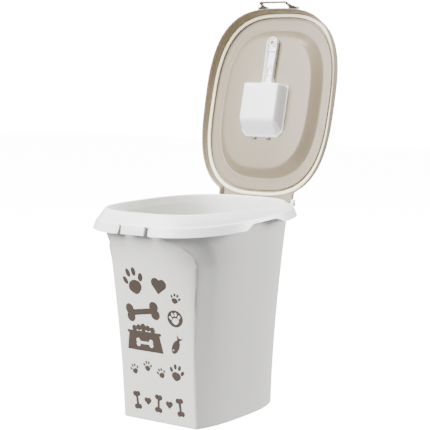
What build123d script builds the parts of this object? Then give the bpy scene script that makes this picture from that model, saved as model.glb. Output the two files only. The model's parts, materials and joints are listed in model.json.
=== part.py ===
"""Pet food bin: tapered bucket, snap-on collar, rear-hinged lid with gasket, front latch loop, scoop.

Millimetres, +Z up, front towards -Y. The origin is the middle of the flat base.
The lid is drawn closed and then swung back to its open stop, which is the rest pose.
"""
from build123d import *
import math
import os

# ---- driving dimensions -------------------------------------------------------------------------
LIP_HEIGHT = 430.0                       # top edge of the collar above the floor
LIP_HALF_WIDTH = 148.35
LIP_HALF_DEPTH = 191.94
OVAL_POWER = 2.885                       # squareness of the collar and lid ovals
BASE_HALF_WIDTH = 110.6
BASE_HALF_DEPTH = 178.9
BASE_POWER = 2.78
BASE_SHIFT = 4.1                         # the base oval sits this far to the rear
SHOULDER_HEIGHT = 385.0                  # where the flaring wall goes up into the collar
SHOULDER_HALF_WIDTH = 143.5
SHOULDER_HALF_DEPTH = 187.3
FLARE_POWER = 1.6
FRONT_FLAT = 126.6                       # front panel's distance from the origin at the floor
FRONT_LEAN = 0.062                       # forward lean of the panel's side edges, mm per mm of height
PANEL_TOP = 381.0                        # the panel has melted into the oval at this height
PANEL_POWER = 2.3
BUCKET_TOP = 425.0
WALL = 2.2
FLOOR = 3.0

STEP_DROP = 16.2                         # collar's step below the lip, at mid depth
SKIRT_DROP = 34.2                        # collar skirt's lower edge below the lip, at mid depth
REAR_RISE = 0.0354                       # step and skirt edge climb towards the rear, mm per mm
STEP_OUT = 13.9
LEDGE_OUT = 15.8
SKIRT_OUT = 22.4
SKIRT_WALL = 2.2
TAB_HALF_WIDTH = 28.5
LATCH_GAP = 8.5                          # slot beside the tab for the latch loop's leg
TAB_FOOT = 388.6
LEG_FOOT = 402.0                         # foot of the collar's outer leg, outside the bucket's rim
INNER_LEG_FOOT = 416.0
RIM_PLAY = 1.3                           # room around the bucket's rim in the collar's groove

HINGE_Y = 209.44
HINGE_Z = 422.88
HINGE_HALF = 94.5                        # half width of the lid's hinge plate
KNUCKLE_R = 4.0
HINGE_PIN_R = 2.0
EAR = 7.0                                # length of each hinge ear along the axis
EAR_GAP = 0.6
SHELF_TOP = 417.5
PIN_PLAY = 0.05
LID_OPEN = 104.13                        # degrees from closed to the open stop

LID_WALL = 2.4
LID_UNDER = 433.0                        # underside of the lid's flat ring
TRAY_UNDER = 416.0                       # underside of the sunken middle
TRAY_HALF_WIDTH = 107.0
TRAY_HALF_DEPTH = 146.0
TRAY_SPREAD = 1.05                       # sideways run of the tray's wall for each mm of height
GASKET_DROP = 2.65

LATCH_Y = -209.5
LATCH_Z = 410.5
LATCH_FLARE = 12.0                       # degrees the loop stands outwards at rest
LATCH_REACH = 27.5
LATCH_BAR = 4.6
LATCH_PIN_R = 1.3

SCOOP_PLANE = 415.5                      # mouth of the scoop, against the lid's tray
SCOOP_DEPTH = 31.0
SCOOP_WALL = 2.0
SCOOP_HANDLE_W = 26.0
PEG_Y = -131.0
PEG_R = 3.0

INK = 0.3                                # thickness of the printed decoration


# ---- outlines -----------------------------------------------------------------------------------
def oval_radius(angle, half_x, half_y, power):
    """Radius of a superellipse in a direction."""
    term = abs(math.cos(angle) / half_x) ** power + abs(math.sin(angle) / half_y) ** power
    return term ** (-1 / power)


def oval_face(half_x, half_y, height, slope=0.0, power=OVAL_POWER, shift=0.0, count=20):
    """Closed oval on a plane that climbs by slope towards the rear."""
    points = []
    for i in range(count):
        angle = 2 * math.pi * (i + 0.5) / count
        radius = oval_radius(angle, half_x, half_y, power)
        x, y = radius * math.cos(angle), radius * math.sin(angle) + shift
        points.append((x, y, height + slope * y))
    return make_face(Spline(*points, periodic=True))


def lip_face(out, height, slope=0.0):
    """The lip's oval, grown outwards."""
    return oval_face(LIP_HALF_WIDTH + out, LIP_HALF_DEPTH + out, height, slope)


def stack(*faces):
    """Solid through a stack of outlines, with straight walls between them."""
    return loft(list(faces), ruled=True)


def bucket_size(height):
    """Half width, half depth, rear shift and power of the bucket's oval at a height."""
    if height <= SHOULDER_HEIGHT:
        flare = (height / SHOULDER_HEIGHT) ** FLARE_POWER
        half_x = BASE_HALF_WIDTH + (SHOULDER_HALF_WIDTH - BASE_HALF_WIDTH) * flare
        half_y = BASE_HALF_DEPTH + (SHOULDER_HALF_DEPTH - BASE_HALF_DEPTH) * flare
        power = BASE_POWER + (OVAL_POWER - BASE_POWER) * flare
        return half_x, half_y, BASE_SHIFT * (1 - flare), power
    rise = (height - SHOULDER_HEIGHT) / (BUCKET_TOP - SHOULDER_HEIGHT)
    top_x, top_y = LIP_HALF_WIDTH - 1.2, LIP_HALF_DEPTH - 1.2
    half_x = SHOULDER_HALF_WIDTH + (top_x - SHOULDER_HALF_WIDTH) * rise
    half_y = SHOULDER_HALF_DEPTH + (top_y - SHOULDER_HALF_DEPTH) * rise
    return half_x, half_y, 0.0, OVAL_POWER


def bucket_face(height, inset=0.0):
    """Bucket outline at a height: an oval whose front is cut by the leaning, rounding panel."""
    half_x, half_y, shift, power = bucket_size(height)
    half_x, half_y = half_x - inset, half_y - inset
    flat_y = -(FRONT_FLAT + FRONT_LEAN * height) + inset
    corner_x = half_x * (1 - ((shift - flat_y) / half_y) ** power) ** (1 / power)
    roundness = min(1.0, height / PANEL_TOP) ** PANEL_POWER

    def oval_y(x):
        return shift - half_y * (1 - abs(x / half_x) ** power) ** (1 / power)

    front = []
    for i in range(-6, 7):
        x = corner_x * math.sin(math.radians(15 * i))
        front.append((x, (1 - roundness) * flat_y + roundness * oval_y(x), height))
    start = math.atan2(flat_y - shift, corner_x)
    back = []
    for i in range(31):
        angle = start + (math.pi - 2 * start) * i / 30
        radius = oval_radius(angle, half_x, half_y, power)
        back.append((radius * math.cos(angle), radius * math.sin(angle) + shift, height))
    front[0], front[-1] = back[-1], back[0]
    return make_face([Spline(*front), Spline(*back)])


def bucket_solid(low, high, inset=0.0, levels=(60, 130, 200, 265, 325, 360, 385, 395, 405, 415)):
    """Solid inside the bucket's outline, moved inwards by inset, between two heights."""
    heights = [low] + [h for h in levels if low + 5 < h < high - 5] + [high]
    return loft([bucket_face(h, inset) for h in heights])


# ---- bucket and its print -----------------------------------------------------------------------
def make_bucket():
    return bucket_solid(0, BUCKET_TOP) - bucket_solid(FLOOR, BUCKET_TOP + 4, WALL)


def paw(x, z, size, turn=0.0):
    """Paw print: a pad and four toes."""
    pad = Ellipse(0.46 * size, 0.36 * size) + Pos(0, -0.16 * size) * Ellipse(0.3 * size, 0.26 * size)
    marks = Pos(0, -0.22 * size) * pad
    for toe_x, toe_z, lean in ((-0.56, 0.2, 28), (-0.21, 0.56, 9), (0.21, 0.56, -9), (0.56, 0.2, -28)):
        marks += Pos(toe_x * size, toe_z * size) * Rot(0, 0, lean) * Ellipse(0.155 * size, 0.24 * size)
    return Pos(x, z) * Rot(0, 0, turn) * marks


def bone(x, z, length, knob, turn=0.0):
    """Dog bone: a bar with two knobs at each end."""
    shape = Rectangle(length - 2 * knob, 1.1 * knob)
    for side in (-1, 1):
        for end in (-1, 1):
            shape += Pos(side * (length / 2 - knob), end * 0.72 * knob) * Circle(knob)
    return Pos(x, z) * Rot(0, 0, turn) * shape


def heart(x, z, size, turn=0.0):
    """Heart: a square on its corner with two round lobes."""
    side = 0.62 * size
    lobe = Circle(side / 2)
    shape = Rot(0, 0, 45) * (Rectangle(side, side) + Pos(side / 2, 0) * lobe + Pos(0, side / 2) * lobe)
    return Pos(x, z) * Rot(0, 0, turn) * shape


def bowl(x, z, width, height):
    """Food bowl with a heap of kibble on it and a bone left clear on its side."""
    top, foot = 0.42 * width, 0.5 * width
    body = make_face(Polyline((-foot, 0), (foot, 0), (top, height), (-top, height), close=True))
    rim = Pos(0, height) * RectangleRounded(0.95 * width, 0.16 * height, 0.07 * height)
    heap = Sketch() + Pos(0, 1.2 * height) * Circle(0.16 * height)
    for i in range(-2, 3):
        lift = height * (1.34 - 0.07 * abs(i))
        heap += Pos(0.125 * width * i, lift) * Circle(0.17 * height)
    return Pos(x, z) * (body + rim + heap - bone(0, 0.45 * height, 0.46 * width, 0.13 * height))


def fish(x, z, length, turn=0.0):
    """Fish treat: a lens-shaped body with a tail and an eye left clear."""
    body = Ellipse(0.36 * length, 0.19 * length)
    tail = make_face(Polyline((0.24 * length, 0), (0.56 * length, 0.19 * length),
                              (0.47 * length, 0), (0.56 * length, -0.19 * length), close=True))
    eye = Pos(-0.2 * length, 0.05 * length) * Circle(0.035 * length)
    return Pos(x, z) * Rot(0, 0, turn) * (body + tail - eye)


def print_motifs():
    """The decoration as flat shapes, in rows from the top of the panel to its foot."""
    disc = Circle(17.5) - paw(0, -1.0, 17.0, 8)
    rows = paw(-34, 287, 38, 14) + heart(27, 283, 34, -10) + paw(62, 262, 15, -20)
    rows += bone(-22, 228, 86, 11, 9) + Pos(57, 222) * disc
    rows += bowl(-24, 146, 92, 38) + fish(53, 164, 44, 62)
    rows += paw(-56, 104, 15, 18) + paw(-22, 114, 15, -4) + paw(12, 104, 15, 18)
    rows += paw(50, 109, 24, -12)
    for x, turn in ((-54, 6), (0, -4), (54, 6)):
        rows += bone(x, 40, 38, 5.6, 90 + turn)
    rows += heart(-27, 40, 17) + heart(27, 40, 17)
    return rows


def make_print():
    """Ink lying on the front panel."""
    block = extrude(Plane.XZ * print_motifs(), amount=230)
    skin = bucket_solid(5, 340, -INK) - bucket_solid(0, BUCKET_TOP)
    return block & skin


# ---- collar -------------------------------------------------------------------------------------
def neck_face(out, height):
    """Oval of the bucket's upright neck, above the shoulder, grown outwards."""
    half_x, half_y, _, _ = bucket_size(height)
    return oval_face(half_x + out, half_y + out, height)


def collar_outer():
    """Outer form of the collar, without its hollows."""
    step, skirt = LIP_HEIGHT - STEP_DROP, LIP_HEIGHT - SKIRT_DROP
    cap = stack(lip_face(-1.3, LIP_HEIGHT), lip_face(0, LIP_HEIGHT - 1.3))
    band = stack(lip_face(0, LIP_HEIGHT - 1.3), lip_face(STEP_OUT, step, REAR_RISE))
    apron = stack(lip_face(LEDGE_OUT, step, REAR_RISE), lip_face(SKIRT_OUT, skirt, REAR_RISE))
    return cap + band + apron


def collar_hollow():
    """Space between the collar's skin and the leg that grips the bucket."""
    step, skirt = LIP_HEIGHT - STEP_DROP, LIP_HEIGHT - SKIRT_DROP
    under = stack(lip_face(0.8, LIP_HEIGHT - 4.2), lip_face(STEP_OUT - 1.2, step - 2.4, REAR_RISE))
    inside = stack(lip_face(STEP_OUT - 1.2, step - 2.4, REAR_RISE),
                   lip_face(SKIRT_OUT - SKIRT_WALL, skirt - 0.1, REAR_RISE))
    leg = stack(lip_face(1.2, LIP_HEIGHT - 2), lip_face(-0.8, LEG_FOOT))
    return (under + inside) - leg


def bucket_seat():
    """Everything the bucket takes up inside the collar: its mouth and a groove for its rim."""
    filled = stack(neck_face(RIM_PLAY, 375), neck_face(RIM_PLAY, BUCKET_TOP + RIM_PLAY))
    inside = -WALL - RIM_PLAY
    inner_leg = stack(neck_face(inside, INNER_LEG_FOOT), neck_face(inside, BUCKET_TOP + 2))
    return filled - inner_leg


def grip_notch():
    """Cut-outs in the skirt's lower edge, at mid depth on both sides, for the hands."""
    low = LIP_HEIGHT - SKIRT_DROP
    outline = Polyline((-72, low - 12), (-36, low + 10), (40, low + 12.5), (78, low - 9), close=True)
    notch = extrude(Plane.YZ * make_face(outline), amount=200, both=True)
    return notch - stack(lip_face(4, low - 20), lip_face(4, low + 20))


def collar_tab():
    """Catch for the latch loop, set back from the skirt's foot on both sides of it."""
    outline = Polyline((-200, 406.9), (-207.4, 406.9), (-212.1, TAB_FOOT), (-209.6, TAB_FOOT),
                       (-205.2, 404.0), (-200, 404.0), close=True)
    return extrude(Plane.YZ * make_face(outline), amount=TAB_HALF_WIDTH, both=True)


def knuckle(low_x, high_x, radius):
    """Barrel on the hinge axis."""
    barrel = Rot(0, 90, 0) * Cylinder(radius, high_x - low_x)
    return Pos((low_x + high_x) / 2, HINGE_Y, HINGE_Z) * barrel


def hinge_seat():
    """Shelf behind the collar with an ear at each end for the hinge pins."""
    rear = HINGE_Y + KNUCKLE_R
    end = HINGE_HALF + EAR_GAP + EAR
    shelf = Pos(0, (rear + 180) / 2, SHELF_TOP - 3) * Box(2 * end, rear - 180, 6)
    seat = shelf - stack(lip_face(STEP_OUT - 1, 380), lip_face(STEP_OUT - 1, 440))
    for side in (-1, 1):
        seat += knuckle(*sorted((side * (end - EAR), side * end)), KNUCKLE_R)
        seat += Pos(side * (end - EAR / 2), HINGE_Y, HINGE_Z - 5) * Box(EAR, 2 * KNUCKLE_R, 10)
    return seat


def make_collar():
    body = collar_outer() - collar_hollow() - bucket_seat()
    body -= stack(lip_face(-5.6, LIP_HEIGHT + 1), lip_face(-6.6, INNER_LEG_FOOT - 4))
    slot_top = 406.6
    slot = Box(2 * (TAB_HALF_WIDTH + LATCH_GAP), 26, 40)
    body -= Pos(0, -215, slot_top - 20) * slot
    body -= grip_notch()
    body += collar_tab()
    body += hinge_seat()
    body -= knuckle(-HINGE_HALF - EAR_GAP, HINGE_HALF + EAR_GAP, KNUCKLE_R + 0.7)
    for side in (-1, 1):
        body -= knuckle(*sorted((side * 60, side * 120)), HINGE_PIN_R)
    return body


def make_hinge_pin(side):
    """Short pin through one collar ear into the lid's barrel."""
    return knuckle(*sorted((side * (HINGE_HALF - 20), side * (HINGE_HALF + EAR_GAP + EAR))), HINGE_PIN_R)


# ---- lid, drawn closed --------------------------------------------------------------------------
def opened(shape):
    """Swing a part of the lid from closed to the open stop."""
    return shape.rotate(Axis((0, HINGE_Y, HINGE_Z), (1, 0, 0)), -LID_OPEN)


def tray(grow, low, high):
    """Solid of the sunken middle: walls at 45 degrees, grown sideways."""
    rise = high - low
    side_x, side_y = TRAY_HALF_WIDTH + grow, TRAY_HALF_DEPTH + grow
    mouth = oval_face(side_x + rise * TRAY_SPREAD, side_y + rise, high)
    return stack(oval_face(side_x, side_y, low), mouth)


def make_lid_shell():
    edge = LIP_HEIGHT - STEP_DROP + 0.6
    top = LID_UNDER + LID_WALL
    outer = stack(lip_face(LEDGE_OUT - 0.2, edge, REAR_RISE), lip_face(12.4, 431.5), lip_face(9.5, top))
    inner = stack(lip_face(STEP_OUT + 0.1, edge - 0.01, REAR_RISE), lip_face(10.4, 430.5),
                  lip_face(9.8, LID_UNDER))
    shell = outer - inner
    shell -= Pos(0, 215, LID_UNDER - 13) * Box(2 * HINGE_HALF - 4, 60, 26)
    rear = HINGE_Y + KNUCKLE_R
    middle_z = (LID_UNDER + HINGE_Z) / 2
    shell += Pos(0, (rear + 150) / 2, LID_UNDER + LID_WALL / 2) * Box(2 * HINGE_HALF, rear - 150, LID_WALL)
    shell += Pos(0, rear - 1.2, middle_z) * Box(2 * HINGE_HALF, 2.4, LID_UNDER - HINGE_Z)
    shell += knuckle(-HINGE_HALF, HINGE_HALF, KNUCKLE_R)
    for side in (-1, 1):
        rib = Box(2.4, 22, LID_UNDER - HINGE_Z - 2)
        shell += Pos(side * (HINGE_HALF - 1.2), HINGE_Y - 8, middle_z + 1) * rib
        shell -= knuckle(*sorted((side * 72, side * 120)), HINGE_PIN_R + PIN_PLAY)
    shell += tray(0, TRAY_UNDER, LID_UNDER + 1)
    return shell - tray(-1.0, TRAY_UNDER + LID_WALL, top + 0.01)


def lid_fittings():
    """Lugs for the latch pins and holders for the scoop, moulded on the lid."""
    parts = Part()
    for side in (-1, 1):
        for low, high, reach in ((27.0, 30.0, 4.5), (48.6, 52.0, 6.2)):
            x = side * (low + high) / 2
            lug = Pos(x, LATCH_Y + (reach - 1) / 2, LATCH_Z) * Box(high - low, reach + 1, 5.2)
            lug += Pos(x, LATCH_Y, LATCH_Z) * Rot(0, 90, 0) * Cylinder(2.6, high - low)
            parts += lug
        parts += Pos(side * 18, 78.5, TRAY_UNDER - 2.2) * Box(9, 4, 5.0)
    parts += Pos(0, PEG_Y, TRAY_UNDER - 4.5) * Cylinder(PEG_R, 9.4)
    return parts


def make_lid():
    shell = make_lid_shell() + lid_fittings()
    for side in (-1, 1):
        bore = Pos(side * 40, LATCH_Y, LATCH_Z) * Rot(0, 90, 0) * Cylinder(LATCH_PIN_R, 30)
        shell -= bore
    return shell


def make_gasket():
    top, low = LID_UNDER, LID_UNDER - GASKET_DROP
    ring = stack(lip_face(8.9, top), lip_face(8.4, low + 0.7), lip_face(7.4, low))
    return ring - stack(lip_face(2.0, top + 0.01), lip_face(2.5, low + 0.7), lip_face(3.4, low - 0.01))


# ---- latch loop, drawn hanging straight down from its pivot ---------------------------------------
def flared(shape):
    """Turn a part of the latch outwards to where it stands at rest."""
    return shape.rotate(Axis((0, LATCH_Y, LATCH_Z), (1, 0, 0)), -LATCH_FLARE)


def make_latch():
    outline = Polyline((-48.2, 0), (-47.5, -3), (-36.2, -8), (-35.6, -LATCH_REACH),
                       (35.6, -LATCH_REACH), (36.2, -8), (47.5, -3), (48.2, 0), close=True)
    frame = make_face(outline) - Pos(0, 20 + LATCH_BAR - LATCH_REACH) * Rectangle(61, 40)
    plate = extrude(Plane.XZ * frame, amount=1.5, both=True)
    loop = Pos(0, LATCH_Y, LATCH_Z) * plate
    for side in (-1, 1):
        barrel = Pos(side * 39.3, LATCH_Y, LATCH_Z) * Rot(0, 90, 0) * Cylinder(2.6, 17.8)
        loop += barrel
        loop -= Pos(side * 39.3, LATCH_Y, LATCH_Z) * Rot(0, 90, 0) * Cylinder(LATCH_PIN_R + PIN_PLAY, 30)
    return loop


def make_latch_pin(side):
    return Pos(side * 39.5, LATCH_Y, LATCH_Z) * Rot(0, 90, 0) * Cylinder(LATCH_PIN_R, 25)


# ---- scoop, drawn with its mouth against the closed lid's tray ------------------------------------
def cup_face(inset, depth):
    """Cup outline: square corners at the handle, cut corners at the lip, narrower with depth."""
    ease = depth / SCOOP_DEPTH
    half = 52 - 8 * ease - inset
    back = -36 - 1 * ease + inset
    front = 75 - 32 * ease - inset
    cut = 13 * (1 - ease) + 3
    outline = Polyline((-half, back), (half, back), (half, front - cut), (half - cut, front),
                       (-half + cut, front), (-half, front - cut), close=True)
    return Plane.XY.offset(SCOOP_PLANE - depth) * make_face(outline)


def make_scoop():
    cup = stack(cup_face(0, 0), cup_face(0, SCOOP_DEPTH))
    cup -= stack(cup_face(SCOOP_WALL, -1), cup_face(SCOOP_WALL, SCOOP_DEPTH - SCOOP_WALL))
    arm = RectangleRounded(SCOOP_HANDLE_W, 118, 12.9)
    top = SCOOP_PLANE
    handle = extrude(Plane.XY.offset(top - 11) * Pos(0, -84) * arm, amount=11)
    trough = RectangleRounded(SCOOP_HANDLE_W - 5, 82, 3)
    handle -= extrude(Plane.XY.offset(top - 12) * Pos(0, -78) * trough, amount=9)
    handle -= stack(cup_face(0.0, -5), cup_face(0.0, SCOOP_DEPTH + 1))
    handle -= Pos(0, PEG_Y, top) * Cylinder(PEG_R + 1.3, 40)
    ribs = Part()
    for y in (-104, -84, -64):
        ribs += Pos(0, y, top - 6) * Box(SCOOP_HANDLE_W - 4, 1.6, 8)
    return cup + handle + ribs


# ---- write the parts ----------------------------------------------------------------------------
def main():
    os.makedirs("parts", exist_ok=True)
    parts = {
        "bucket": make_bucket(),
        "front_print": make_print(),
        "collar": make_collar(),
        "lid_shell": opened(make_lid()),
        "lid_gasket": opened(make_gasket()),
        "latch_loop": opened(flared(make_latch())),
        "scoop": opened(make_scoop()),
    }
    for name, side in (("left", -1), ("right", 1)):
        parts[f"hinge_pin_{name}"] = make_hinge_pin(side)
        parts[f"latch_pin_{name}"] = opened(make_latch_pin(side))
    for name, shape in parts.items():
        export_step(shape, f"parts/{name}.step")


main()
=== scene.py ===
"""Pet food bin: the finished look of a tapered bucket with a collar, a hinged lid, a latch and a scoop.

Lengths inside the shape functions are in millimetres and become metres when a mesh is made.
"""
import json
import math

import bpy
import numpy as np
from bpy.props import FloatProperty, FloatVectorProperty, PointerProperty
from mathutils import Matrix, Vector


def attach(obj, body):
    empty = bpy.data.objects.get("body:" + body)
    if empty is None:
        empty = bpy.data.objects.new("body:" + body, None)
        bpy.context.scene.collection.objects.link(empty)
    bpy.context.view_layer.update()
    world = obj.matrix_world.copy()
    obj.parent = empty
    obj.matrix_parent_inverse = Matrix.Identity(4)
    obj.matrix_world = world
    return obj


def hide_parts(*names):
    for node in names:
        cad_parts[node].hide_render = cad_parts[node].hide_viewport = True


bl_info = {
    "name": "Pet Food Bin",
    "version": (1, 0, 0),
    "blender": (4, 5, 0),
    "location": "View3D > Sidebar > Bin",
    "description": "Builds a lidded pet food bin with a latch and a scoop",
    "category": "Add Mesh",
}

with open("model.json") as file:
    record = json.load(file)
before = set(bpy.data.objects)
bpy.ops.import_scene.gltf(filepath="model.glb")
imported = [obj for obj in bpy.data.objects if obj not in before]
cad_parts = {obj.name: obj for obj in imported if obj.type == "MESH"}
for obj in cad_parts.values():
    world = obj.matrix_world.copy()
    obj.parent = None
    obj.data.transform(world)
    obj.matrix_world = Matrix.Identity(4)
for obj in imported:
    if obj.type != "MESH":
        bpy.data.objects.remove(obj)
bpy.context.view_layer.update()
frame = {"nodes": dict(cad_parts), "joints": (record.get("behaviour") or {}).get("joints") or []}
JOINTS = {joint["name"]: joint for joint in frame["joints"]}
MM = 0.001

# ---- sizes shared by several pieces, mm -----------------------------------------------------------
LIP_X, LIP_Y, LIP_POWER = 148.35, 191.94, 2.885
STEP_Z, STEP_OUT = 413.8, 13.2
LEDGE_OUT, SKIRT_OUT, SKIRT_Z = 16.2, 22.4, 395.8
REAR_RISE = 0.0354
BUCKET_TOP = 425.0
WALL = 2.2
SHOULDER_Z = 385.0
PANEL_FRONT, PANEL_LEAN, PANEL_TOP = 126.6, 0.062, 381.0
PANEL_FADE = 2.3
HINGE_HALF, HINGE_REAR = 94.5, 213.4
HINGE_Y, HINGE_Z = 209.44, 422.88
TAB_HALF = 28.5
LATCH_SLOT = 37.0
LATCH_Y, LATCH_Z, LATCH_FLARE, LATCH_REACH = -209.5, 410.5, 12.0, 27.5
SCOOP_TOP, SCOOP_DEPTH = 415.5, 31.0
PEG_Y = -131.0
SWEEP = 2 * math.pi

# ---- columns of the bucket's mesh, and the arc between its front panel and its sides --------------
FRONT_COLUMNS, CORNER_COLUMNS, SIDE_COLUMNS = 62, 9, 84
CORNER_ROUND = 5.5

# ---- stage ----------------------------------------------------------------------------------------
AMBIENT, BACKDROP, FLOOR_GLOW = 0.42, 18.0, 14.0
LIGHTS = (
    # name, place, target, size, power
    ("key", (-1.1, -3.4, 2.9), (0, 0, 0.35), 3.4, 760),
    ("rear", (2.3, 2.9, 1.3), (0, 0, 0.35), 1.5, 300),
    ("top", (-0.4, 0.4, 3.3), (0, 0, 0.3), 1.6, 230),
)
CAMERA_PLACE = (1.6712, -2.2583, 0.7468)
CAMERA_DIP, CAMERA_TURN = 6.898, 35.75
CAMERA_SENSOR, CAMERA_LENS = 36.0, 116.08


# ---- small helpers --------------------------------------------------------------------------------
def smooth(value):
    """Ease from 0 to 1 as value goes from 0 to 1."""
    t = np.clip(value, 0.0, 1.0)
    return t * t * (3 - 2 * t)


def oval(angles, half_x, half_y, power=LIP_POWER):
    """Radius of a superellipse at each angle."""
    term = np.abs(np.cos(angles) / half_x) ** power + np.abs(np.sin(angles) / half_y) ** power
    return term ** (-1 / power)


def joint_swing(name, degrees):
    """Matrix that turns about a hinge of the frame."""
    pivot = Vector(JOINTS[name]["pos_m"])
    turn = Matrix.Rotation(math.radians(degrees), 4, Vector(JOINTS[name]["axis"]))
    return Matrix.Translation(pivot) @ turn @ Matrix.Translation(-pivot)


LID_SWING = joint_swing("lid_hinge", -JOINTS["lid_hinge"]["range_deg"][1])


def deselect():
    """Leave nothing selected."""
    bpy.ops.object.select_all(action="DESELECT")


def pick(obj):
    """Select one object and make it active."""
    deselect()
    obj.select_set(True)
    bpy.context.view_layer.objects.active = obj


def edit(obj, *steps):
    """Run edit-mode operators on the whole of a mesh."""
    pick(obj)
    bpy.ops.object.mode_set(mode="EDIT")
    bpy.ops.mesh.select_all(action="SELECT")
    for operator, settings in steps:
        operator(**settings)
    bpy.ops.object.mode_set(mode="OBJECT")


def apply(obj, kind, **settings):
    """Add a modifier and apply it."""
    pick(obj)
    modifier = obj.modifiers.new(kind.title(), kind)
    for key, value in settings.items():
        setattr(modifier, key, value)
    bpy.ops.object.modifier_apply(modifier=modifier.name)


def soften(obj, width, segments=3, angle=35):
    """Round the sharp edges of a piece, in mm."""
    apply(obj, "BEVEL", width=width * MM, segments=segments, limit_method="ANGLE",
          angle_limit=math.radians(angle), harden_normals=False)


def shade(obj, angle=40):
    """Smooth shading that breaks at edges sharper than an angle."""
    pick(obj)
    bpy.ops.object.shade_smooth_by_angle(angle=math.radians(angle))


def bake_place(obj):
    """Put the object's place into its mesh."""
    obj.data.transform(obj.matrix_world)
    obj.matrix_world = Matrix.Identity(4)


def join(name, pieces):
    """One object from several."""
    deselect()
    for piece in pieces:
        bake_place(piece)
        piece.select_set(True)
    bpy.context.view_layer.objects.active = pieces[0]
    bpy.ops.object.join()
    pieces[0].name = name
    return pieces[0]


def span(side, near, far):
    """Lowest and highest x of a piece that lies on one side, between two distances."""
    return sorted((side * near, side * far))


def level(flat, z):
    """Points of one outline at one height."""
    return np.column_stack([flat, np.full(len(flat), z)])


def wrap_grid(name, rows, close_rows=False):
    """Bend a primitive grid onto rows of points that each go once round."""
    points = np.asarray(rows, dtype=float)
    points = np.concatenate([points, points[:, :1]], axis=1)
    if close_rows:
        points = np.concatenate([points, points[:1]], axis=0)
    count_y, count_x = points.shape[:2]
    deselect()
    bpy.ops.mesh.primitive_grid_add(x_subdivisions=count_x - 1, y_subdivisions=count_y - 1, size=1)
    obj = bpy.context.object
    obj.name = name
    if len(obj.data.vertices) != count_x * count_y:
        raise RuntimeError(f"{name}: the grid doesn't have {count_x * count_y} points")
    obj.data.vertices.foreach_set("co", (points * MM).astype(np.float32).ravel())
    obj.data.update()
    edit(obj, (bpy.ops.mesh.remove_doubles, {"threshold": 1e-6}),
         (bpy.ops.mesh.normals_make_consistent, {"inside": False}))
    shade(obj)
    return obj


def block(low, high, name="block"):
    """Cube between two corners, in mm."""
    deselect()
    middle = [(a + b) / 2 * MM for a, b in zip(low, high)]
    bpy.ops.mesh.primitive_cube_add(size=1, location=middle)
    obj = bpy.context.object
    obj.name = name
    obj.scale = [(b - a) * MM for a, b in zip(low, high)]
    bpy.context.view_layer.update()
    bake_place(obj)
    return obj


def rod(x_low, x_high, y, z, radius, sides=32):
    """Round bar along X, in mm."""
    deselect()
    bpy.ops.mesh.primitive_cylinder_add(
        vertices=sides, radius=radius * MM, depth=(x_high - x_low) * MM,
        location=((x_low + x_high) / 2 * MM, y * MM, z * MM), rotation=(0, math.pi / 2, 0))
    obj = bpy.context.object
    bpy.context.view_layer.update()
    bake_place(obj)
    return obj


def post(y, z, radius, height, sides=48):
    """Upright round bar on the bin's middle line, in mm."""
    deselect()
    bpy.ops.mesh.primitive_cylinder_add(vertices=sides, radius=radius * MM, depth=height * MM,
                                        location=(0, y * MM, z * MM))
    obj = bpy.context.object
    bpy.context.view_layer.update()
    bake_place(obj)
    return obj


# ---- bucket ---------------------------------------------------------------------------------------
def bucket_size(height):
    """Half width, half depth, shift and power of the bucket's oval."""
    if height <= SHOULDER_Z:
        flare = (height / SHOULDER_Z) ** 1.6
        return 110.6 + 32.9 * flare, 178.9 + 8.4 * flare, 4.1 * (1 - flare), 2.78 + 0.105 * flare
    rise = (height - SHOULDER_Z) / (BUCKET_TOP - SHOULDER_Z)
    return 143.5 + 3.65 * rise, 187.3 + 3.44 * rise, 0.0, LIP_POWER


def panel_plane(height):
    """Place of the flat front panel at a height."""
    return -(PANEL_FRONT + PANEL_LEAN * height)


def panel_share(height):
    """How far the front has turned from the flat panel into the oval."""
    return min(1.0, height / PANEL_TOP) ** PANEL_FADE


def along(points, places):
    """Points at given lengths along a polyline, with the polyline's own lengths."""
    lengths = np.concatenate([[0], np.cumsum(np.hypot(*np.diff(points, axis=0).T))])
    return np.stack([np.interp(places, lengths, points[:, k]) for k in (0, 1)], axis=1), lengths


def half_outline(height, inset=0.0):
    """Right half of the bucket's outline, from the middle of the front to the middle of the back."""
    half_x, half_y, shift, power = bucket_size(height)
    half_x, half_y = half_x - inset, half_y - inset
    flat_y = panel_plane(height) + inset
    neck = float(1 - smooth((height - 388) / 14))    # the squarer shape ends under the collar
    squarer = (0.1 + 0.47 * min(1.0, height / SHOULDER_Z)) * neck
    rear_power = power + squarer
    power += 0.5 * float(smooth((height - 320) / 62)) * neck
    corner_x = half_x * (1 - ((shift - flat_y) / half_y) ** power) ** (1 / power)
    roundness = panel_share(height)
    x = corner_x * np.sin(np.linspace(0, math.pi / 2, 200))
    oval_y = shift - half_y * (1 - (x / half_x) ** power) ** (1 / power)
    front = np.stack([x, (1 - roundness) * flat_y + roundness * oval_y], axis=1)
    angles = np.linspace(math.atan2(flat_y - shift, corner_x), math.pi / 2, 400)
    radius = oval(angles, half_x, half_y, np.where(angles > 0, rear_power, power))
    side = np.stack([radius * np.cos(angles), radius * np.sin(angles) + shift], axis=1)
    front[-1] = side[0]
    _, front_lengths = along(front, [0])
    _, side_lengths = along(side, [0])
    reach = front_lengths[-1] - CORNER_ROUND
    front_part = along(front, reach * np.linspace(0, 1, FRONT_COLUMNS) ** 0.75)[0]
    start = along(side, [CORNER_ROUND])[0][0]
    t = np.linspace(0, 1, CORNER_COLUMNS + 2)[1:-1, None]
    corner = (1 - t) ** 2 * front_part[-1] + 2 * t * (1 - t) * side[0] + t ** 2 * start
    run = side_lengths[-1] - CORNER_ROUND
    side_part = along(side, CORNER_ROUND + run * np.linspace(0, 1, SIDE_COLUMNS) ** 1.35)[0]
    return np.concatenate([front_part, corner, side_part]), front_lengths[-1]


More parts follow.
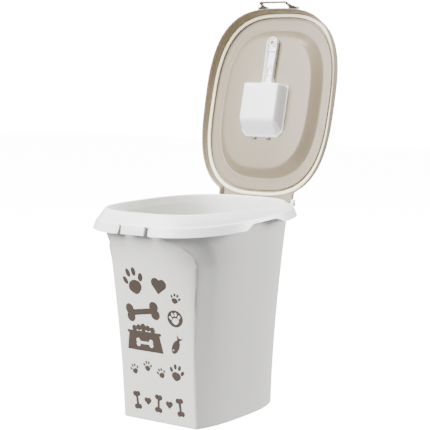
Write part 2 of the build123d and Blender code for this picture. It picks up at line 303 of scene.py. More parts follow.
def round_trip(half):
    """Whole outline from its right half."""
    left = half[-2:0:-1] * (-1, 1)
    return np.concatenate([half, left])


def shield_edge():
    """Outline of the front panel as distance round the bucket from the middle, and height."""
    straight, arch_half, arch_rise, squareness = 329, 104.5, 52.5, 2 / 2.8
    samples = [(half_outline(height)[1], height) for height in np.arange(0, straight + 1, 8.0)]
    for t in np.linspace(0, math.pi / 2, 50):
        x = arch_half * math.cos(t) ** squareness
        height = straight + arch_rise * math.sin(t) ** squareness
        outline, _ = half_outline(height)
        part = outline[:FRONT_COLUMNS + CORNER_COLUMNS + 20]
        lengths = along(part, [0])[1]
        samples.append((float(np.interp(x, part[:, 0], lengths)), height))
    return np.array(samples)


def fall_back(half, height, edge, depth):
    """Move the wall beside the panel's edge inwards, most at its top corners."""
    lengths = along(half, [0])[1]
    gaps = np.hypot(lengths[:, None] - edge[None, :, 0], height - edge[None, :, 1])
    limit = np.interp(height, edge[:, 1], edge[:, 0], right=-1.0)
    away = np.where(lengths > limit, gaps.min(axis=1), -gaps.min(axis=1))
    spread = smooth((away + 1.0) / 5.0) * (1 - smooth((away - 6) / 46))
    middle = 0.2 + 0.8 * smooth((half[:, 0] - 35) / 55)
    amount = depth * spread * middle * smooth((height - 60) / 290) * (1 - smooth((height - 391) / 9))
    tangent = np.gradient(half, axis=0)
    normal = np.stack([tangent[:, 1], -tangent[:, 0]], axis=1)
    normal /= np.linalg.norm(normal, axis=1)[:, None]
    return half - normal * amount[:, None]


def bucket_rows(depth):
    """Rows of points over the bucket, from under its floor, up the wall and down inside."""
    edge = shield_edge()
    # each station is a height, an inset of the wall and a scale towards the middle
    upper = np.concatenate([np.linspace(4, 318, 44), np.linspace(320, 392, 58), np.linspace(396, 424, 7)])
    stations = [(0.0, 4.0, 0.0), (0.0, 4.0, 0.5), (0.0, 4.0, 0.98), (0.0, 2.6, 1.0), (0.35, 1.4, 1.0),
                (1.1, 0.55, 1.0), (2.2, 0.1, 1.0)]
    stations += [(height, 0.0, 1.0) for height in upper]
    stations += [(BUCKET_TOP, 0.5, 1.0), (BUCKET_TOP, WALL - 0.5, 1.0)]
    stations += [(height, WALL, 1.0) for height in upper[::-3]]
    stations += [(7.0, 2.4, 1.0), (4.4, 3.8, 1.0), (3.2, 6.5, 1.0), (3.0, 9.0, 1.0), (3.0, 9.0, 0.5),
                 (3.0, 9.0, 0.0)]
    rows = []
    for height, inset, scale in stations:
        half, _ = half_outline(height, inset)
        half = fall_back(half, height, edge, depth)
        shift = bucket_size(height)[2]
        flat = round_trip(half) * scale + np.array([0, shift * (1 - scale)])
        rows.append(level(flat, height))
    return rows


def panel_y(x, height):
    """How far forward the front panel is."""
    half_x, half_y, shift, power = bucket_size(height)
    roundness = panel_share(height)
    oval_y = shift - half_y * (1 - min(abs(x / half_x), 1.0) ** power) ** (1 / power)
    return (1 - roundness) * panel_plane(height) + roundness * oval_y


# ---- collar ---------------------------------------------------------------------------------------
def collar_angles():
    """Directions round the collar, closer together at the latch slot and the grips."""
    even = np.linspace(0, SWEEP, 300, endpoint=False)
    extra = []
    for side in (-1, 1):
        for x in np.linspace(LATCH_SLOT - 1.6, LATCH_SLOT + 9, 24):
            extra.append(math.atan2(-210, side * x))
        for y in np.linspace(-70, 80, 60):
            extra.append(math.atan2(y, side * 168))
    return np.unique(np.round(np.mod(np.concatenate([even, extra]), SWEEP), 5))


def collar_row(angles, out, z, rise):
    """One turn round the collar, so far out from the lip's oval."""
    radius = oval(angles, LIP_X + out, LIP_Y + out)
    x, y = radius * np.cos(angles), radius * np.sin(angles)
    return np.column_stack([x, y, z + rise * y])


def skirt_share(angles):
    """How much of the skirt's height is left at each direction."""
    place = collar_row(angles, 19, 0, 0)
    x, y = place[:, 0], place[:, 1]
    grip = np.minimum(smooth((y + 67) / 33), smooth((77 - y) / 40)) * (np.abs(x) > 120)
    slot = (1 - smooth((np.abs(x) - LATCH_SLOT + 0.4) / 0.9)) * (y < -150)
    return 1 - np.maximum(0.64 * grip, 0.97 * slot)


def collar_rows():
    """Rows of points round the collar's cross-section, starting inside the mouth."""
    angles = collar_angles()
    share = skirt_share(angles)[:, None]
    place = collar_row(angles, 19, 0, 0)
    ends = (1 - smooth((np.abs(place[:, 0]) - LATCH_SLOT) / 8)) * (place[:, 1] < -150)
    rows = [collar_row(angles, out, z, 0) for out, z in
            ((-4.5, 411.5), (-5.0, 415), (-5.5, 420), (-5.6, 427.8), (-5.3, 428.9), (-4.5, 429.7),
             (-3.4, 430.0), (-2.0, 430.0), (-0.9, 429.75), (-0.1, 429.1), (0.3, 428.4))]
    top = collar_row(angles, 0.3, 428.4, 0)
    step = collar_row(angles, STEP_OUT, STEP_Z, REAR_RISE)
    for t in np.linspace(0.08, 1, 9):
        bulge = collar_row(angles, 0.7, 0.35, 0) - collar_row(angles, 0, 0, 0)
        rows.append(top + (step - top) * t + bulge * math.sin(math.pi * t))
    rows.append(collar_row(angles, STEP_OUT + 0.3, STEP_Z - 0.3, REAR_RISE))
    ledge = collar_row(angles, LEDGE_OUT, STEP_Z - 1.4, REAR_RISE)
    foot = collar_row(angles, SKIRT_OUT, SKIRT_Z, REAR_RISE)
    inside = collar_row(angles, STEP_OUT - 1.2, STEP_Z - 2.4, REAR_RISE)
    inside_foot = collar_row(angles, SKIRT_OUT - 2.3, SKIRT_Z, REAR_RISE)
    tuck = (collar_row(angles, -3.6, 0, 0) - collar_row(angles, 0, 0, 0)) * ends[:, None]
    turn = 1 - np.clip((np.abs(place[:, 0]) - LATCH_SLOT) / 9, 0, 1)
    droop = (0.45 * (1 - np.sqrt(1 - turn ** 2)) * (place[:, 1] < -150))[:, None] * share
    drop = (foot - ledge) * droop
    rows.append(collar_row(angles, LEDGE_OUT - 1.3, STEP_Z - 0.35, REAR_RISE) + tuck * 0.8 + drop * 0.9)
    rows.append(collar_row(angles, LEDGE_OUT - 0.4, STEP_Z - 0.65, REAR_RISE) + tuck + drop)
    for t in (0.02, 0.1, 0.3, 0.5, 0.7, 0.88, 0.965):
        rows.append(ledge + (foot - ledge) * (droop + (share - droop) * t) + tuck)
    rim = ledge + (foot - ledge) * share + tuck
    rim_in = inside + (inside_foot - inside) * share + tuck
    rows += [rim + (rim_in - rim) * t for t in (0.22, 0.78)]
    for t in (0.965, 0.5, 0.0):
        rows.append(inside + (inside_foot - inside) * t * share + tuck * 0.8 * t)
    groove = ((1.6, 425.4), (0.9, 424.6), (-1.2, 402.6), (-1.6, 402.0), (-2.1, 402.0),
              (-0.4, 424.9), (-0.4, 425.9), (-4.3, 425.9), (-4.35, 416.4), (-4.3, 411.5))
    return rows + [collar_row(angles, out, z, 0) for out, z in groove]


def hinge_seat():
    """Shelf behind the collar with an ear at each end."""
    end, ear = HINGE_HALF + 7.6, 7.0
    pieces = [block((-end, 188, 411.5), (end, HINGE_REAR, 417.5))]
    for side in (-1, 1):
        low, high = span(side, end - ear, end)
        pieces.append(block((low, 205.5, 414), (high, HINGE_REAR, 423)))
    for piece in pieces:
        soften(piece, 0.8)
    for side in (-1, 1):
        low, high = span(side, end - ear, end)
        barrel = rod(low - 0.6, high + 0.6, HINGE_Y, HINGE_Z, 3.6)
        soften(barrel, 0.8, 3)
        pieces.append(barrel)
    return pieces


def latch_tab():
    """Catch in the slot at the front of the skirt."""
    tab = block((-TAB_HALF, -211.4, 388.6), (TAB_HALF, -199, 407.0))
    top_front, foot_back = -207.6, -208.6
    for vertex in tab.data.vertices:
        is_top, is_front = vertex.co.z > 0.4, vertex.co.y < -0.205
        if is_top and is_front:
            vertex.co.y = top_front * MM
        elif not is_top and not is_front:
            vertex.co.y = foot_back * MM
    soften(tab, 1.1, 4)
    return tab


# ---- lid ------------------------------------------------------------------------------------------
def lid_angles():
    """Directions round the lid, closer together at the corners of the hinge plate."""
    even = np.linspace(0, SWEEP, 280, endpoint=False)
    corner = math.atan2(HINGE_REAR, HINGE_HALF)
    near = np.linspace(-0.09, 0.09, 24)
    return np.unique(np.round(np.concatenate([even, corner + near, math.pi - corner + near]), 5))


def lid_row(angles, out, z, rise=0.0):
    """One turn round the lid's skirt, which goes out square at the rear for the hinge plate."""
    radius = oval(angles, LIP_X + out, LIP_Y + out)
    margin = 15.6 - out
    cosine = np.maximum(np.abs(np.cos(angles)), 1e-6)
    sine = np.maximum(np.sin(angles), 1e-6)
    square = np.minimum((HINGE_HALF - margin) / cosine, (HINGE_REAR - margin) / sine)
    square = np.where(np.sin(angles) > 0.2, square, 0)
    gap = square - radius
    radius = radius + (gap + np.sqrt(gap ** 2 + 9.0)) / 2 * (np.sin(angles) > 0.2)
    x, y = radius * np.cos(angles), radius * np.sin(angles)
    return np.column_stack([x, y, z + rise * y])


def plain_row(angles, half_x, half_y, z):
    """One turn round an oval, or its middle point when it has no width."""
    radius = oval(angles, half_x, half_y) if half_x else np.zeros_like(angles)
    return level(np.column_stack([radius * np.cos(angles), radius * np.sin(angles)]), z)


def lid_rows():
    """Rows of points over the lid, from under its middle, round the skirt and over the top."""
    angles = lid_angles()
    edge = STEP_Z + 1.0
    under = [(0, 0, 416.0), (50, 80, 416.0), (103.6, 142.6, 416.0), (105.6, 144.6, 416.3),
             (107.4, 146.4, 417.4), (113, 151.5, 422.6), (118.5, 156.5, 427.8), (123.6, 161.4, 432.8),
             (125.6, 163.4, 434.4),
             (127.2, 165.0, 433.9), (129.5, 167.3, 434.2), (137, 178, 434.2), (144.0, 187.6, 434.2),
             (145.0, 188.6, 434.3), (145.5, 189.1, 434.9), (145.7, 189.3, 437.2), (146.2, 189.8, 437.5),
             (149.6, 193.2, 437.5), (150.2, 193.8, 437.2), (150.5, 194.1, 433.2), (151, 194.6, 433.0)]
    rows = [plain_row(angles, *station) for station in under]
    rows.append(plain_row(angles, LIP_X + 8.6, LIP_Y + 8.6, 433.0))
    rows += [lid_row(angles, out, z, rise) for out, z, rise in
             ((9.6, 432.9, 0), (10.3, 432.4, 0), (10.7, 431.6, 0), (10.9, 430.2, 0),
              (12.4, edge + 5, REAR_RISE * 0.7), (14.0, edge + 0.3, REAR_RISE), (14.4, edge, REAR_RISE),
              (15.6, edge, REAR_RISE), (16.3, edge + 0.5, REAR_RISE), (15.6, edge + 4, REAR_RISE),
              (13.9, edge + 11, REAR_RISE * 0.5), (13.0, 431.6, 0), (12.6, 433.6, 0), (11.6, 435.6, 0),
              (9.8, 437.0, 0), (7.0, 438.2, 0), (3.6, 439.4, 0))]
    over = [(LIP_X, LIP_Y, 440.0), (146, 189, 440.0), (143, 186, 439.4), (139.5, 181.5, 437.4),
            (137, 179, 436.8), (131, 169.5, 436.8), (128.4, 166.8, 436.4),
            (122.5, 160.4, 431.9), (116, 154.4, 425.6), (109, 147.8, 419.8), (106.8, 145.8, 418.7),
            (104, 143, 418.4), (50, 80, 418.4), (0, 0, 418.4)]
    return rows + [plain_row(angles, *station) for station in over]


def gasket_rows():
    """Rows of points round the sealing bead."""
    angles = np.linspace(0, SWEEP, 240, endpoint=False)
    return [plain_row(angles, LIP_X + out, LIP_Y + out, z) for out, z in
            ((9.7, 433.05), (9.7, 431.9), (9.4, 431.2), (8.6, 430.7), (7.2, 430.4), (6.0, 430.35),
             (4.8, 430.4), (3.4, 430.7), (2.7, 431.2), (2.4, 431.9), (2.4, 433.05), (6.0, 433.2))]


def lid_fittings():
    """Barrel, latch lugs and scoop holders, with the lid closed."""
    pieces = []
    barrel = rod(-HINGE_HALF, HINGE_HALF, HINGE_Y, HINGE_Z, 4.0)
    soften(barrel, 0.5, 2)
    pieces.append(barrel)
    for side in (-1, 1):
        for near, far in ((27.0, 30.0), (48.7, 52.0)):
            low, high = span(side, near, far)
            lug = block((low, LATCH_Y - 0.4, LATCH_Z - 2.6), (high, -203.4, LATCH_Z + 2.6))
            soften(lug, 0.5, 2)
            eye = rod(low - 0.4, high + 0.4, LATCH_Y, LATCH_Z, 2.7, 24)
            soften(eye, 0.4, 2)
            pieces += [lug, eye]
        low, high = span(side, 13, 23)
        hook = block((low, 76.6, 410.6), (high, 80.4, 416.6))
        soften(hook, 0.9, 3)
        pieces.append(hook)
    peg = post(PEG_Y, 411.5, 3.1, 9.6, 36)
    soften(peg, 0.8, 3)
    return pieces + [peg]


# ---- scoop ----------------------------------------------------------------------------------------
def rounded(corners, radius, steps=7):
    """Polygon with each corner turned on an arc, and points along its sides."""
    corners = np.array(corners, dtype=float)
    arcs = []
    for before, here, after in zip(np.roll(corners, 1, 0), corners, np.roll(corners, -1, 0)):
        back = (before - here) / np.linalg.norm(before - here)
        ahead = (after - here) / np.linalg.norm(after - here)
        turn = math.acos(float(np.clip(back @ ahead, -1, 1)))
        nearest = min(np.linalg.norm(before - here), np.linalg.norm(after - here))
        reach = min(radius / math.tan(turn / 2), 0.45 * nearest)
        t = np.linspace(0, 1, steps)[:, None]
        arcs.append((1 - t) ** 2 * (here + back * reach) + 2 * t * (1 - t) * here
                    + t ** 2 * (here + ahead * reach))
    points = []
    for arc, following in zip(arcs, arcs[1:] + arcs[:1]):
        t = np.linspace(0, 1, 5)[1:-1, None]
        points += [arc, arc[-1] + (following[0] - arc[-1]) * t]
    return np.concatenate(points)


def cup_row(depth, inset, scale=1.0):
    """Outline of the cup at a depth below its mouth."""
    ease = depth / SCOOP_DEPTH
    half, back = 52 - 8 * ease - inset, -36 - 1.5 * ease + inset
    front, cut = 75 - 30 * ease - inset, 13 - 9 * ease
    corners = [(-half, back), (half, back), (half, front - cut), (half - cut, front), (-half + cut, front),
               (-half, front - cut)]
    flat = rounded(corners, 4.0)
    middle = np.array([0, (back + front) / 2])
    flat = middle + (flat - middle) * scale
    return level(flat, SCOOP_TOP - depth)


def cup_rows():
    """Rows over the cup, from under its floor, up to the rim and down inside."""
    stations = [(31.0, 5.0, 0.02), (31.0, 5.0, 0.6), (31.0, 5.0, 1.0), (30.6, 2.6, 1.0), (29.6, 1.0, 1.0),
                (27.6, 0.2, 1.0), (20, 0, 1.0), (12, 0, 1.0), (4, 0, 1.0), (2.6, 0, 1.0), (2.3, -0.8, 1.0),
                (2.0, -1.3, 1.0), (0.5, -1.3, 1.0), (0.1, -0.9, 1.0), (0.1, 1.4, 1.0), (0.6, 1.9, 1.0),
                (12, 2.0, 1.0), (25, 2.0, 1.0), (27.8, 3.0, 1.0), (28.8, 6.0, 1.0), (28.8, 6.0, 0.5),
                (28.8, 6.0, 0.02)]
    return [cup_row(*station) for station in stations]


def handle_row(z, inset, scale=1.0):
    """Outline of the handle: a waisted bar with a round end."""
    root, end_y, end_radius = -36.5, -130, 13.0
    right = [(14.5, root), (12.2, -41), (11.2, -48), (11.4, -60), (12.2, -90), (end_radius, -122),
             (end_radius, end_y)]
    end = [(end_radius * math.cos(t), end_y - end_radius * math.sin(t))
           for t in np.linspace(0, math.pi, 15)[1:-1]]
    left = [(-x, y) for x, y in reversed(right)]
    points = np.array(right + end + left)
    middle = np.array([0.0, -90.0])
    tangent = np.gradient(points, axis=0)
    normal = np.stack([-tangent[:, 1], tangent[:, 0]], axis=1)
    normal /= np.linalg.norm(normal, axis=1)[:, None]
    outward = np.sign((normal * (points - middle)).sum(axis=1))[:, None] * normal
    points = points - outward * inset
    points[[0, -1], 1] = root - max(inset - 2.0, 0)
    points = middle + (points - middle) * scale
    return level(points, z)


def handle_rows():
    """Rows over the handle, from its back, round the rim and down into the trough."""
    stations = [(415.3, 3.0, 0.02), (415.3, 3.0, 0.6), (415.3, 1.0, 1.0), (414.9, 0.3, 1.0),
                (414.3, 0.0, 1.0), (405.4, -0.4, 1.0), (404.7, 0.0, 1.0), (404.5, 0.7, 1.0),
                (404.7, 1.6, 1.0), (405.4, 2.1, 1.0), (411.0, 3.0, 1.0), (412.0, 3.6, 1.0),
                (412.3, 4.6, 1.0), (412.3, 4.6, 0.6), (412.3, 4.6, 0.02)]
    return [handle_row(*station) for station in stations]


def handle_details():
    """Ring round the hanging hole and ribs across the trough."""
    ring = post(PEG_Y, 409.2, 7.4, 7.2)
    soften(ring, 0.5, 2)
    ribs = []
    for y in (-113, -60):
        rib = block((-9.6, y - 0.8, 407.2), (9.6, y + 0.8, 412.6))
        soften(rib, 0.3, 2)
        ribs.append(rib)
    return [ring] + ribs


def drill(obj, y, radius, low, high):
    """Cut a round hole up through a piece on the middle line."""
    tool = post(y, (low + high) / 2, radius, high - low)
    apply(obj, "BOOLEAN", operation="DIFFERENCE", object=tool, solver="EXACT")
    bpy.data.objects.remove(tool)


# ---- latch ----------------------------------------------------------------------------------------
def latch_frame():
    """The loop, hanging straight down from its pivot: a bar on two legs with flared feet."""
    reach, bar, inner = LATCH_REACH, 4.6, 30.5
    outer_half = [(47.6, 0), (46.6, -3), (42.6, -6.2), (39.0, -10), (37.0, -15), (36.2, -reach + 5),
                  (35.4, -reach + 2.2), (33.8, -reach + 0.6), (31.2, -reach), (0, -reach)]
    inner_half = [(inner, z) for z in (0, -3, -6.2, -10, -15, -reach + bar + 3)]
    inner_half += [(inner - 0.4, -reach + bar + 1.2), (inner - 1.2, -reach + bar + 0.4),
                   (inner - 3, -reach + bar), (0, -reach + bar)]
    rows = []
    for half in (outer_half, inner_half):
        full = half + [(-x, z) for x, z in reversed(half[:-1])]
        rows.append([(x, LATCH_Y + 1.7, LATCH_Z + z) for x, z in full])
    points = np.array(rows) * MM
    deselect()
    bpy.ops.mesh.primitive_grid_add(x_subdivisions=points.shape[1] - 1, y_subdivisions=1, size=1)
    loop = bpy.context.object
    loop.data.vertices.foreach_set("co", points.astype(np.float32).ravel())
    loop.data.update()
    edit(loop, (bpy.ops.mesh.normals_make_consistent, {"inside": False}))
    apply(loop, "SOLIDIFY", thickness=3.4 * MM, offset=0)
    vertices = loop.data.vertices
    middle = sum(vertex.co.y for vertex in vertices) / len(vertices)
    loop.data.transform(Matrix.Translation((0, LATCH_Y * MM - middle, 0)))
    for side in (-1, 1):
        low, high = span(side, inner, 47.9)
        barrel = rod(low, high, LATCH_Y, LATCH_Z, 2.6, 28)
        apply(loop, "BOOLEAN", operation="UNION", object=barrel, solver="EXACT")
        bpy.data.objects.remove(barrel)
    soften(loop, 0.7, 3, 30)
    return loop


# ---- shader maths ---------------------------------------------------------------------------------
class Shader:
    """A material's node tree, with Python expressions for its numbers."""

    def __init__(self, name):
        self.material = bpy.data.materials.new(name)
        self.material.use_nodes = True
        self.tree = self.material.node_tree
        self.surface = self.tree.nodes["Principled BSDF"]

    def node(self, kind, settings=None, **inputs):
        """Any node, with its settings and the values or links of its sockets."""
        made = self.tree.nodes.new(kind)
        for key, value in (settings or {}).items():
            setattr(made, key, value)
        for key, value in inputs.items():
            self.feed(made.inputs[key.replace("_", " ")], value)
        return made

    def feed(self, socket, value):
        """Link a socket, or set it when the value is a constant."""
        if isinstance(value, Value):
            value = value.socket
        if isinstance(value, bpy.types.NodeSocket):
            self.tree.links.new(value, socket)
        else:
            socket.default_value = value

    def value(self, socket):
        """A number that can be used in expressions."""
        return Value(self, socket)

    def mix(self, factor, first, second):
        """Blend of two colours."""
        made = self.tree.nodes.new("ShaderNodeMix")
        made.data_type = "RGBA"
        self.feed(made.inputs["Factor"], factor)
        self.feed(made.inputs[6], first)
        self.feed(made.inputs[7], second)
        return made.outputs[2]


class Value:
    """A number that varies over a surface."""

    def __init__(self, shader, socket):
        self.shader, self.socket = shader, socket

    def _math(self, operation, first, second):
        made = self.shader.node("ShaderNodeMath", {"operation": operation})
        self.shader.feed(made.inputs[0], first)
        self.shader.feed(made.inputs[1], second)
        return Value(self.shader, made.outputs[0])

    def __add__(self, other):
        return self._math("ADD", self, other)

    def __sub__(self, other):
        return self._math("SUBTRACT", self, other)

    def __rsub__(self, other):
        return self._math("SUBTRACT", other, self)

    def __mul__(self, other):
        return self._math("MULTIPLY", self, other)

    __radd__ = __add__
    __rmul__ = __mul__


def colour(rgb, scale):
    """A colour made lighter or darker, with its alpha."""
    return (*(min(1.0, channel * scale) for channel in rgb), 1.0)


def noise(shader, coordinates, scale, detail):
    """Value of a noise texture over the surface."""
    made = shader.node("ShaderNodeTexNoise", Scale=scale, Detail=detail)
    shader.feed(made.inputs["Vector"], coordinates)
    return shader.value(made.outputs["Fac"])


def moulded(name, rgb, roughness, grain, cloud, sheen=0.5):
    """Moulded plastic: faint flow marks in the colour, a fine grain and slightly uneven gloss."""
    shader = Shader(name)
    place = shader.node("ShaderNodeTexCoord").outputs["Object"]
    flow = noise(shader, place, 9.0, 2.0)
    fine = noise(shader, place, 900.0, 2.0)
    scuff = noise(shader, place, 60.0, 4.0)
    tint = shader.mix(flow, colour(rgb, 1 - cloud), colour(rgb, 1 + cloud))
    shader.feed(shader.surface.inputs["Base Color"], tint)
    gloss = roughness + 0.10 * (scuff - 0.5) + 0.05 * (fine - 0.5)
    shader.feed(shader.surface.inputs["Roughness"], gloss)
    height = fine * 0.6 + scuff * 0.4
    bump = shader.node("ShaderNodeBump", Strength=grain, Distance=0.0006, Height=height)
    shader.feed(shader.surface.inputs["Normal"], bump.outputs["Normal"])
    shader.surface.inputs["IOR"].default_value = 1.49
    shader.surface.inputs["Specular IOR Level"].default_value = sheen
    return shader.material


def finish_piece(obj, material, body, slot, *nodes):
    """Give a piece its material and its body, and hide the parts of the frame it stands for."""
    obj.data.materials.clear()
    obj.data.materials.append(material)
    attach(obj, body)
    if nodes:
        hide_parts(*nodes)


def paint_node(node, material):
    """Put a material on a part of the frame."""
    mesh = frame["nodes"][node].data
    mesh.materials.clear()
    mesh.materials.append(material)


# ---- settings -------------------------------------------------------------------------------------
def swatch(label, rgb):
    """Colour setting."""
    return FloatVectorProperty(name=label, description=f"Colour of the {label.lower()}", subtype="COLOR",
                               default=rgb, min=0, max=1)


class BinColours(bpy.types.PropertyGroup):
    """Colours of the mouldings."""
    bucket: swatch("Bucket", (0.76, 0.75, 0.72))
    collar: swatch("Collar", (0.87, 0.87, 0.865))
    lid: swatch("Lid", (0.235, 0.190, 0.130))
    # painted shade: the latch is the lid's taupe made about half as bright, though the real latch is the
    # lid's colour
    latch: swatch("Latch", (0.11, 0.088, 0.064))
    seal: swatch("Seal", (0.93, 0.85, 0.62))
    scoop: swatch("Scoop", (0.86, 0.87, 0.885))
    ink: swatch("Ink", (0.052, 0.038, 0.030))
    floor: swatch("Floor", (0.93, 0.93, 0.93))


class BinSizes(bpy.types.PropertyGroup):
    """Sizes that can be changed without altering the fit of the parts."""
    fall: FloatProperty(name="Fall", description="How far the wall falls back beside the front panel, mm",
                        default=5.5, min=0, max=9)
    ink: FloatProperty(name="Ink", description="How far the print stands off the panel, mm",
                       default=0.25, min=0.05, max=0.4)


# ---- operators ------------------------------------------------------------------------------------
class BuildBucket(bpy.types.Operator):
    """Build the bucket with its front panel"""
    bl_idname = "pet_bin.bucket"
    bl_label = "Bucket"

    def execute(self, context):
        scene = context.scene
        bucket = wrap_grid("bucket_shell", bucket_rows(scene.bin_sizes.fall))
        material = moulded("bucket_polypropylene", scene.bin_colours.bucket,
                           roughness=0.42, grain=0.05, cloud=0.012)
        finish_piece(bucket, material, "bin", "bucket_plastic", "bucket")
        return {"FINISHED"}


class BuildPrint(bpy.types.Operator):
    """Lay the printed decoration on the front panel"""
    bl_idname = "pet_bin.print"
    bl_label = "Print"

    def execute(self, context):
        scene = context.scene
        source = frame["nodes"]["front_print"]
        mesh = source.data.copy()
        ink = bpy.data.objects.new("printed_decoration", mesh)
        bpy.context.collection.objects.link(ink)
        edit(ink, (bpy.ops.mesh.customdata_custom_splitnormals_clear, {}),
             (bpy.ops.mesh.remove_doubles, {"threshold": 1e-6}))
        outward, sunk = -0.6, -0.25
        outside = {index for face in mesh.polygons if face.normal.y < outward for index in face.vertices}
        for vertex in mesh.vertices:
            front = panel_y(vertex.co.x / MM, vertex.co.z / MM)
            lift = scene.bin_sizes.ink if vertex.index in outside else sunk
            vertex.co.y = (front - lift) * MM
        shade(ink, 30)
        material = moulded("printing_ink", scene.bin_colours.ink,
                           roughness=0.5, grain=0.04, cloud=0.10)
        finish_piece(ink, material, "bin", "ink", "front_print")
        return {"FINISHED"}


class BuildCollar(bpy.types.Operator):
    """Build the collar with its catch and the seat of the hinge"""
    bl_idname = "pet_bin.collar"
    bl_label = "Collar"

    def execute(self, context):
        ring = wrap_grid("collar_ring", collar_rows(), close_rows=True)
        material = moulded("collar_polypropylene", context.scene.bin_colours.collar,
                           roughness=0.27, grain=0.03, cloud=0.01)
        finish_piece(ring, material, "bin", "collar_plastic", "collar")
        seat = join("collar_hinge_seat", hinge_seat())
        shade(seat)
        finish_piece(seat, material, "bin", "collar_plastic")
        tab = latch_tab()
        tab.name = "collar_catch"
        shade(tab)
        finish_piece(tab, material, "bin", "collar_plastic")
        return {"FINISHED"}


class BuildLid(bpy.types.Operator):
    """Build the lid with its gasket and fittings"""
    bl_idname = "pet_bin.lid"
    bl_label = "Lid"

    def execute(self, context):
        colours = context.scene.bin_colours
        material = moulded("lid_polypropylene", colours.lid,
                           roughness=0.33, grain=0.03, cloud=0.012, sheen=0.35)
        shell = wrap_grid("lid_panel", lid_rows())
        shell.data.transform(LID_SWING)
        finish_piece(shell, material, "lid", "lid_plastic", "lid_shell")
        fittings = join("lid_fittings", lid_fittings())
        fittings.data.transform(LID_SWING)
        shade(fittings)
        finish_piece(fittings, material, "lid", "lid_plastic")
        gasket = wrap_grid("lid_seal", gasket_rows(), close_rows=True)
        gasket.data.transform(LID_SWING)
        rubber = moulded("seal_rubber", colours.seal, roughness=0.55, grain=0.06, cloud=0.02)
        finish_piece(gasket, rubber, "lid", "seal", "lid_gasket")
        return {"FINISHED"}


class BuildLatch(bpy.types.Operator):
    """Build the latch loop"""
    bl_idname = "pet_bin.latch"
    bl_label = "Latch"

    def execute(self, context):
        loop = latch_frame()
        loop.name = "latch_frame"
        pivot = Vector((0, LATCH_Y * MM, LATCH_Z * MM))
        flare = Matrix.Rotation(math.radians(-LATCH_FLARE), 4, "X")
        loop.data.transform(Matrix.Translation(pivot) @ flare @ Matrix.Translation(-pivot))
        loop.data.transform(LID_SWING)
        shade(loop)
        # the latch takes the darkened latch swatch, which paints shade onto a part of the lid's colour
        material = moulded("latch_polypropylene_painted_shade", context.scene.bin_colours.latch,
                           roughness=0.32, grain=0.03, cloud=0.02)
        finish_piece(loop, material, "latch", "latch_plastic", "latch_loop")
        return {"FINISHED"}


class BuildScoop(bpy.types.Operator):
    """Build the scoop"""
    bl_idname = "pet_bin.scoop"
    bl_label = "Scoop"

    def execute(self, context):
        cup = wrap_grid("scoop_cup", cup_rows())
        handle = wrap_grid("scoop_handle", handle_rows())
        details = join("scoop_handle_details", handle_details())
        whole = join("scoop_handle", [handle, details])
        drill(whole, PEG_Y, 4.4, 400, 420)
        material = moulded("scoop_polypropylene", context.scene.bin_colours.scoop,
                           roughness=0.3, grain=0.02, cloud=0.008)
        for piece in (cup, whole):
            piece.data.transform(LID_SWING)
            shade(piece)
        finish_piece(cup, material, "scoop", "scoop_plastic", "scoop")
        finish_piece(whole, material, "scoop", "scoop_plastic")
        return {"FINISHED"}


class PaintPins(bpy.types.Operator):
    """Give the pins their plastic"""
    bl_idname = "pet_bin.pins"
    bl_label = "Pins"

    def execute(self, context):
        finish = {"roughness": 0.4, "grain": 0.02, "cloud": 0.01}
        white = moulded("pin_acetal", (0.80, 0.79, 0.77), **finish)
        # the latch pins take the same darkened latch swatch, which is painted shade
        shaded_taupe = moulded("latch_pin_acetal_painted_shade", context.scene.bin_colours.latch, **finish)
        for side in ("left", "right"):
            paint_node(f"hinge_pin_{side}", white)
            paint_node(f"latch_pin_{side}", shaded_taupe)
        return {"FINISHED"}


def area_light(name, place, target, size, power):
    """Soft square light aimed at a point."""
    data = bpy.data.lights.new(name, "AREA")
    data.size = size
    data.energy = power
    light = bpy.data.objects.new(name, data)
    light.location = place
    light.rotation_euler = (Vector(target) - Vector(place)).to_track_quat("-Z", "Y").to_euler()
    bpy.context.collection.objects.link(light)


def studio_world(ambient, backdrop):
    """World that lights softly and looks white behind the bin."""
    world = bpy.data.worlds.new("studio")
    world.use_nodes = True
    nodes, links = world.node_tree.nodes, world.node_tree.links
    soft = nodes["Background"]
    soft.inputs["Color"].default_value = (1, 1, 1, 1)
    soft.inputs["Strength"].default_value = ambient
    white = nodes.new("ShaderNodeBackground")
    white.inputs["Color"].default_value = (1, 1, 1, 1)
    white.inputs["Strength"].default_value = backdrop
    mix = nodes.new("ShaderNodeMixShader")
    links.new(nodes.new("ShaderNodeLightPath").outputs["Is Camera Ray"], mix.inputs["Fac"])
    links.new(soft.outputs[0], mix.inputs[1])
    links.new(white.outputs[0], mix.inputs[2])
    links.new(mix.outputs[0], nodes["World Output"].inputs["Surface"])
    return world


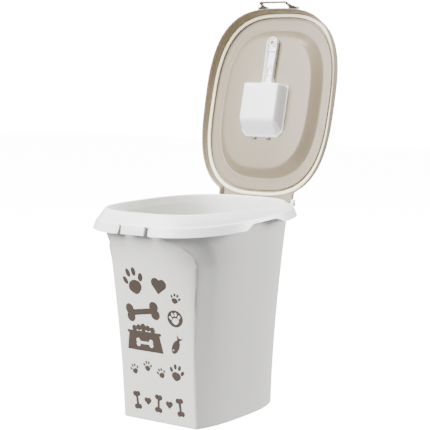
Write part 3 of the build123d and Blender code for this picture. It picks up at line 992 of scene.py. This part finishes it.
class BuildStage(bpy.types.Operator):
    """Build the floor, the lights and the camera"""
    bl_idname = "pet_bin.stage"
    bl_label = "Stage"

    def execute(self, context):
        deselect()
        bpy.ops.mesh.primitive_plane_add(size=14, location=(0, 0, 0))
        floor = bpy.context.object
        floor.name = "studio_floor"
        paper = moulded("studio_paper", context.scene.bin_colours.floor, roughness=0.9, grain=0.0, cloud=0.0)
        surface = paper.node_tree.nodes["Principled BSDF"]
        surface.inputs["Emission Color"].default_value = (1, 1, 1, 1)
        surface.inputs["Emission Strength"].default_value = FLOOR_GLOW
        floor.data.materials.append(paper)
        floor.visible_diffuse = False
        floor.visible_glossy = False
        context.scene.world = studio_world(AMBIENT, BACKDROP)
        for light in LIGHTS:
            area_light(*light)
        data = bpy.data.cameras.new("camera")
        data.sensor_width = CAMERA_SENSOR
        data.lens = CAMERA_LENS
        camera = bpy.data.objects.new("camera", data)
        camera.location = CAMERA_PLACE
        camera.rotation_euler = (math.radians(90 - CAMERA_DIP), 0, math.radians(CAMERA_TURN))
        bpy.context.collection.objects.link(camera)
        context.scene.camera = camera
        return {"FINISHED"}


OPERATORS = (BuildBucket, BuildPrint, BuildCollar, BuildLid, BuildLatch, BuildScoop, PaintPins, BuildStage)


class BinPanel(bpy.types.Panel):
    """Buttons that build the bin"""
    bl_label = "Pet Food Bin"
    bl_idname = "VIEW3D_PT_pet_bin"
    bl_space_type = "VIEW_3D"
    bl_region_type = "UI"
    bl_category = "Bin"

    def draw(self, context):
        for group in (context.scene.bin_colours, context.scene.bin_sizes):
            for key in group.__annotations__:
                self.layout.prop(group, key)
        for operator in OPERATORS:
            self.layout.operator(operator.bl_idname)


CLASSES = (BinColours, BinSizes, *OPERATORS, BinPanel)


def register():
    """Add the classes and their settings to Blender."""
    for each in CLASSES:
        bpy.utils.register_class(each)
    bpy.types.Scene.bin_colours = PointerProperty(type=BinColours)
    bpy.types.Scene.bin_sizes = PointerProperty(type=BinSizes)


def unregister():
    """Take the classes and their settings out again."""
    del bpy.types.Scene.bin_colours
    del bpy.types.Scene.bin_sizes
    for each in reversed(CLASSES):
        bpy.utils.unregister_class(each)


def main():
    """Build every piece, then the stage."""
    register()
    bpy.ops.pet_bin.bucket()
    bpy.ops.pet_bin.print()
    bpy.ops.pet_bin.collar()
    bpy.ops.pet_bin.lid()
    bpy.ops.pet_bin.latch()
    bpy.ops.pet_bin.scoop()
    bpy.ops.pet_bin.pins()
    bpy.ops.pet_bin.stage()


if __name__ == "__main__":
    main()
